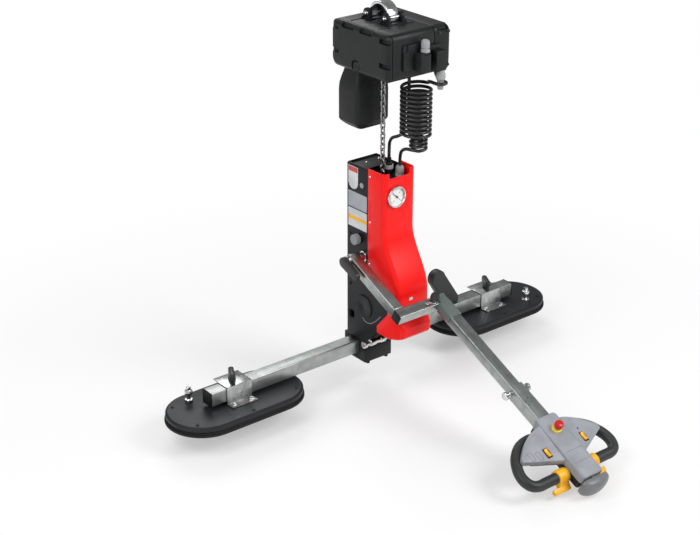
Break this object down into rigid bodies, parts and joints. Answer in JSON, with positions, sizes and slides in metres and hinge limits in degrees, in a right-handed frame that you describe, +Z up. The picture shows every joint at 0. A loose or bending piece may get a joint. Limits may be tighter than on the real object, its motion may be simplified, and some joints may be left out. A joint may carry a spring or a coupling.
{
  "type": "vacuum lifting device",
  "caption": "Vacuum lifting device: chain hoist on a suspension bow, vacuum unit, tilting crossbeam with two sliding suction pads, and a folding tiller handle.",
  "frame": {"origin": "underside of the suspension bow's crown, on the line of the load chain", "axes": "+X along the crossbeam, to the operator's right; -Y towards the operator; +Z up"},
  "size_m": [1.329, 0.9644, 1.1051],
  "materials": {
    "black_housing": "satin black textured housing",
    "black_paint": "satin black powder coat",
    "black_plastic": "matte black moulded plastic",
    "cable_jacket": "black cable jacket",
    "red_paint": "glossy red powder coat",
    "galvanised_steel": "zinc-plated steel",
    "bright_metal": "bright plated steel",
    "grey_plastic": "fine-grained grey moulded plastic",
    "yellow_plastic": "yellow moulded plastic",
    "red_plastic": "red moulded plastic",
    "seal_rubber": "black sealing rubber",
    "grip_rubber": "soft black grip"
  },
  "bodies": {
    "hoist": {"hoist_cover_left": "black_housing", "hoist_cover_right": "black_housing", "hoist_body": "black_housing", "chain_guide": "bright_metal", "socket_left": "black_plastic", "socket_right": "black_plastic", "suspension_bow": "bright_metal", "chain_box": "black_plastic", "cable_top_lead": "cable_jacket"},
    "lifter": {"load_chain": "galvanised_steel", "cable_coil": "cable_jacket", "cable_coil_small": "cable_jacket", "cable_plug_lead": "cable_jacket", "cable_gland_lead": "cable_jacket", "frame_channel": "black_paint", "front_cover": "red_paint", "chain_anchor": "galvanised_steel", "terminal_plate": "galvanised_steel", "gauge_case": "bright_metal", "pivot_bolt_left": "bright_metal", "tilt_block": "black_paint", "vacuum_manifold": "bright_metal"},
    "needle": {"gauge_needle": "black_plastic"},
    "knob": {"side_knob": "grey_plastic"},
    "beam": {"crossbeam": "galvanised_steel", "beam_cap_left": "black_plastic", "beam_cap_right": "black_plastic", "tilt_handle": "black_plastic"},
    "pad_left": {"pad_seal_left": "seal_rubber", "pad_plate_left": "black_paint", "pad_bracket_left": "galvanised_steel", "pad_valve_left": "bright_metal"},
    "pad_right": {"pad_seal_right": "seal_rubber", "pad_plate_right": "black_paint", "pad_bracket_right": "galvanised_steel", "pad_valve_right": "bright_metal"},
    "clamp_left": {"pad_knob_left": "black_plastic"},
    "clamp_right": {"pad_knob_right": "black_plastic"},
    "handle": {"bail_arm_left": "galvanised_steel", "bail_cap_left": "black_plastic", "bail_cap_right": "black_plastic", "handle_yoke": "galvanised_steel"},
    "pivot_clamp": {"pivot_lever": "black_plastic"},
    "corner_clamp": {"corner_knob": "black_plastic"},
    "tiller": {"sleeve": "galvanised_steel", "head_shell": "grey_plastic", "head_lower": "black_plastic", "grip_left": "grip_rubber", "grip_right": "grip_rubber", "button_collar": "yellow_plastic"},
    "screw_left": {"clamp_screw_left": "bright_metal"},
    "screw_right": {"clamp_screw_right": "bright_metal"},
    "lever_left": {"thumb_lever_left": "yellow_plastic"},
    "lever_right": {"thumb_lever_right": "yellow_plastic"},
    "switch_left": {"rocker_left": "yellow_plastic"},
    "switch_right": {"rocker_right": "yellow_plastic"},
    "stop": {"emergency_button": "red_plastic"},
    "nose": {"nose_bumper": "grey_plastic"}
  },
  "joints": [
    {"name": "chain_lift", "type": "slide", "parent": "hoist", "child": "lifter", "axis": [0, 0, 1], "range_m": [-0.04, 0.04], "deforming": ["cable_coil"]},
    {"name": "needle_turn", "type": "hinge", "parent": "lifter", "child": "needle", "pos_m": [-0.014, -0.0771, -0.5025], "axis": [0, 1, 0], "range_deg": [-60, 190]},
    {"name": "side_knob_turn", "type": "hinge", "parent": "lifter", "child": "knob", "pos_m": [-0.0623, 0.034, -0.649], "axis": [-1, 0, 0], "range_deg": [-90, 90]},
    {"name": "beam_tilt", "type": "hinge", "parent": "lifter", "child": "beam", "pos_m": [0, 0.057, -0.982], "axis": [1, 0, 0], "range_deg": [0, 90]},
    {"name": "left_pad_slide", "type": "slide", "parent": "beam", "child": "pad_left", "axis": [1, 0, 0], "range_m": [-0.03, 0.12]},
    {"name": "right_pad_slide", "type": "slide", "parent": "beam", "child": "pad_right", "axis": [-1, 0, 0], "range_m": [-0.03, 0.08]},
    {"name": "left_clamp_turn", "type": "hinge", "parent": "pad_left", "child": "clamp_left", "pos_m": [-0.463, 0.063, -0.945], "axis": [0, 0, 1], "range_deg": [-90, 90]},
    {"name": "right_clamp_turn", "type": "hinge", "parent": "pad_right", "child": "clamp_right", "pos_m": [0.463, 0.063, -0.945], "axis": [0, 0, 1], "range_deg": [-90, 90]},
    {"name": "handle_lift", "type": "hinge", "parent": "lifter", "child": "handle", "pos_m": [0, 0.012, -0.694], "axis": [-1, 0, 0], "range_deg": [0, 55]},
    {"name": "pivot_clamp_turn", "type": "hinge", "parent": "handle", "child": "pivot_clamp", "pos_m": [-0.1205, 0.012, -0.694], "axis": [1, 0, 0], "range_deg": [-45, 45]},
    {"name": "corner_clamp_turn", "type": "hinge", "parent": "handle", "child": "corner_clamp", "pos_m": [0.018, -0.19476, -0.77353], "axis": [0, -0.4226, 0.9063], "range_deg": [-90, 90]},
    {"name": "tiller_slide", "type": "slide", "parent": "handle", "child": "tiller", "axis": [0, -0.9063, -0.4226], "range_m": [-0.05, 0.03]},
    {"name": "left_screw_turn", "type": "hinge", "parent": "tiller", "child": "screw_left", "pos_m": [0.014, -0.49281, -0.9294], "axis": [-1, 0, 0], "range_deg": [-180, 180]},
    {"name": "right_screw_turn", "type": "hinge", "parent": "tiller", "child": "screw_right", "pos_m": [0.078, -0.49281, -0.9294], "axis": [1, 0, 0], "range_deg": [-180, 180]},
    {"name": "left_lever_turn", "type": "hinge", "parent": "tiller", "child": "lever_left", "pos_m": [-0.01, -0.71345, -1.0549], "axis": [1, 0, 0], "range_deg": [-20, 20], "stiffness_Nm_per_rad": 0.4},
    {"name": "right_lever_turn", "type": "hinge", "parent": "tiller", "child": "lever_right", "pos_m": [0.102, -0.71345, -1.0549], "axis": [1, 0, 0], "range_deg": [-20, 20], "stiffness_Nm_per_rad": 0.4},
    {"name": "left_rocker", "type": "hinge", "parent": "tiller", "child": "switch_left", "pos_m": [-0.019, -0.67565, -1.00108], "axis": [1, 0, 0], "range_deg": [-8, 8], "stiffness_Nm_per_rad": 0.1},
    {"name": "right_rocker", "type": "hinge", "parent": "tiller", "child": "switch_right", "pos_m": [0.111, -0.67565, -1.00108], "axis": [1, 0, 0], "range_deg": [-8, 8], "stiffness_Nm_per_rad": 0.1},
    {"name": "stop_press", "type": "slide", "parent": "tiller", "child": "stop", "axis": [0, 0.4226, -0.9063], "range_m": [0, 0.004], "stiffness_N_per_m": 1000},
    {"name": "nose_press", "type": "slide", "parent": "tiller", "child": "nose", "axis": [0, 0.9063, 0.4226], "range_m": [0, 0.005], "stiffness_N_per_m": 2000}
  ],
  "couplings": [
    {"joint": "right_lever_turn", "follows": "left_lever_turn", "ratio": 1}
  ]
}
